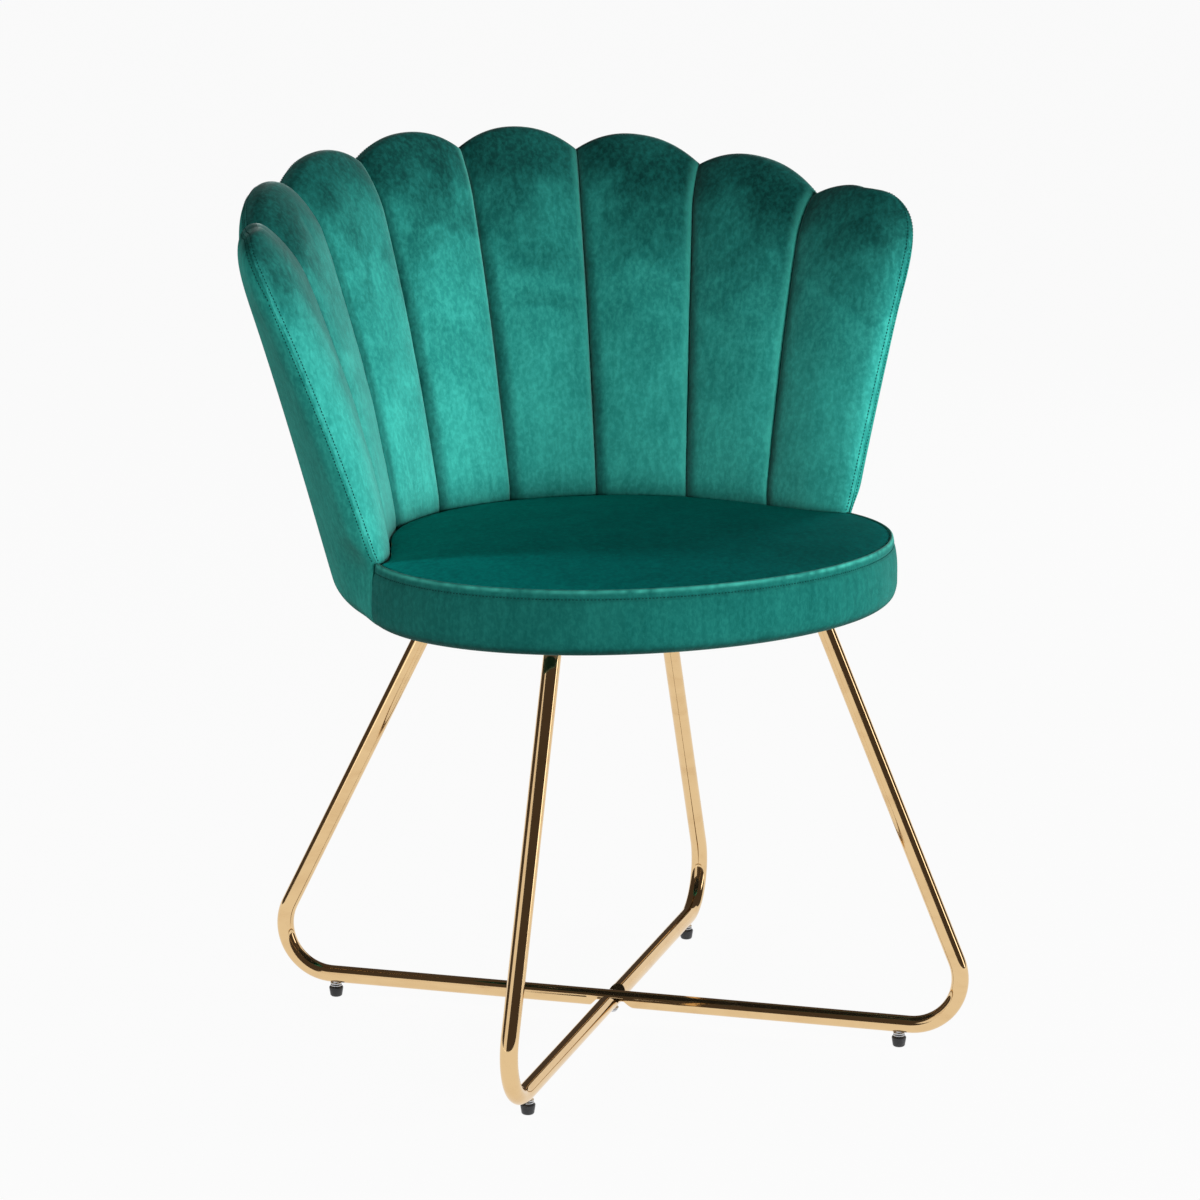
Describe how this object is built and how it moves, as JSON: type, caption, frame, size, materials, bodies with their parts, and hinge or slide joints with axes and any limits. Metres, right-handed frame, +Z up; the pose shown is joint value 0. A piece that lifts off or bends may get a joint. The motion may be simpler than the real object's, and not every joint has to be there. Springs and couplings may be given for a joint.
{
  "type": "upholstered shell chair",
  "caption": "Velvet shell chair: curved channelled back with a scalloped top round a padded round seat, on crossed bent-tube sled frames with levelling glides.",
  "frame": {"origin": "centre of the bounding box at floor level, under the pads of the glides", "axes": "+Z up, the open front of the chair faces -Y, +X to the right of a viewer who stands in front"},
  "size_m": [0.6824, 0.5708, 0.8143],
  "materials": {
    "velvet": "short-pile emerald velvet with a soft sheen",
    "seat_velvet": "the same velvet, seen darker on the flat seat",
    "foam": "cut upholstery foam",
    "black_cloth": "thin non-woven dust cloth",
    "plywood": "bare moulded plywood",
    "gold_tube": "mirror-polished gold-tone plating on steel tube",
    "zinc_steel": "zinc-plated steel",
    "black_steel": "black coated steel",
    "black_plastic": "moulded black plastic"
  },
  "bodies": {
    "chair": {"back_channel_1": "velvet", "back_channel_2": "velvet", "back_channel_3": "velvet", "back_channel_4": "velvet", "back_channel_5": "velvet", "back_channel_6": "velvet", "back_channel_7": "velvet", "back_channel_8": "velvet", "back_shell": "plywood", "shell_screw_1": "black_steel", "shell_screw_2": "black_steel", "shell_screw_3": "black_steel", "shell_screw_4": "black_steel", "shell_screw_5": "black_steel", "back_outer_cover": "velvet", "seat_foam": "foam", "seat_cover": "seat_velvet", "seat_boxing": "velvet", "seat_panel": "plywood", "dust_cover": "black_cloth", "mount_plate_fr": "black_steel", "leg_bolt_fr_1": "zinc_steel", "tee_nut_fr_1": "zinc_steel", "leg_bolt_fr_2": "zinc_steel", "tee_nut_fr_2": "zinc_steel", "mount_plate_rl": "black_steel", "leg_bolt_rl_1": "zinc_steel", "tee_nut_rl_1": "zinc_steel", "leg_bolt_rl_2": "zinc_steel", "tee_nut_rl_2": "zinc_steel", "mount_plate_fl": "black_steel", "leg_bolt_fl_1": "zinc_steel", "tee_nut_fl_1": "zinc_steel", "leg_bolt_fl_2": "zinc_steel", "tee_nut_fl_2": "zinc_steel", "mount_plate_rr": "black_steel", "leg_bolt_rr_1": "zinc_steel", "tee_nut_rr_1": "zinc_steel", "leg_bolt_rr_2": "zinc_steel", "tee_nut_rr_2": "zinc_steel", "leg_frame_upper": "gold_tube", "leg_frame_lower": "gold_tube", "cross_bolt": "zinc_steel", "cross_washer": "zinc_steel", "cross_insert": "zinc_steel", "glide_insert_fr": "zinc_steel", "glide_insert_rl": "zinc_steel", "glide_insert_fl": "zinc_steel", "glide_insert_rr": "zinc_steel"},
    "glide_fr": {"glide_stud_fr": "zinc_steel", "glide_pad_fr": "black_plastic"},
    "glide_rl": {"glide_stud_rl": "zinc_steel", "glide_pad_rl": "black_plastic"},
    "glide_fl": {"glide_stud_fl": "zinc_steel", "glide_pad_fl": "black_plastic"},
    "glide_rr": {"glide_stud_rr": "zinc_steel", "glide_pad_rr": "black_plastic"}
  },
  "joints": [
    {"name": "glide_fr_travel", "type": "slide", "parent": "chair", "child": "glide_fr", "axis": [0, 0, -1], "range_m": [-0.0008, 0.004]},
    {"name": "glide_rl_travel", "type": "slide", "parent": "chair", "child": "glide_rl", "axis": [0, 0, -1], "range_m": [-0.0008, 0.004]},
    {"name": "glide_fl_travel", "type": "slide", "parent": "chair", "child": "glide_fl", "axis": [0, 0, -1], "range_m": [-0.0008, 0.004]},
    {"name": "glide_rr_travel", "type": "slide", "parent": "chair", "child": "glide_rr", "axis": [0, 0, -1], "range_m": [-0.0008, 0.004]}
  ]
}
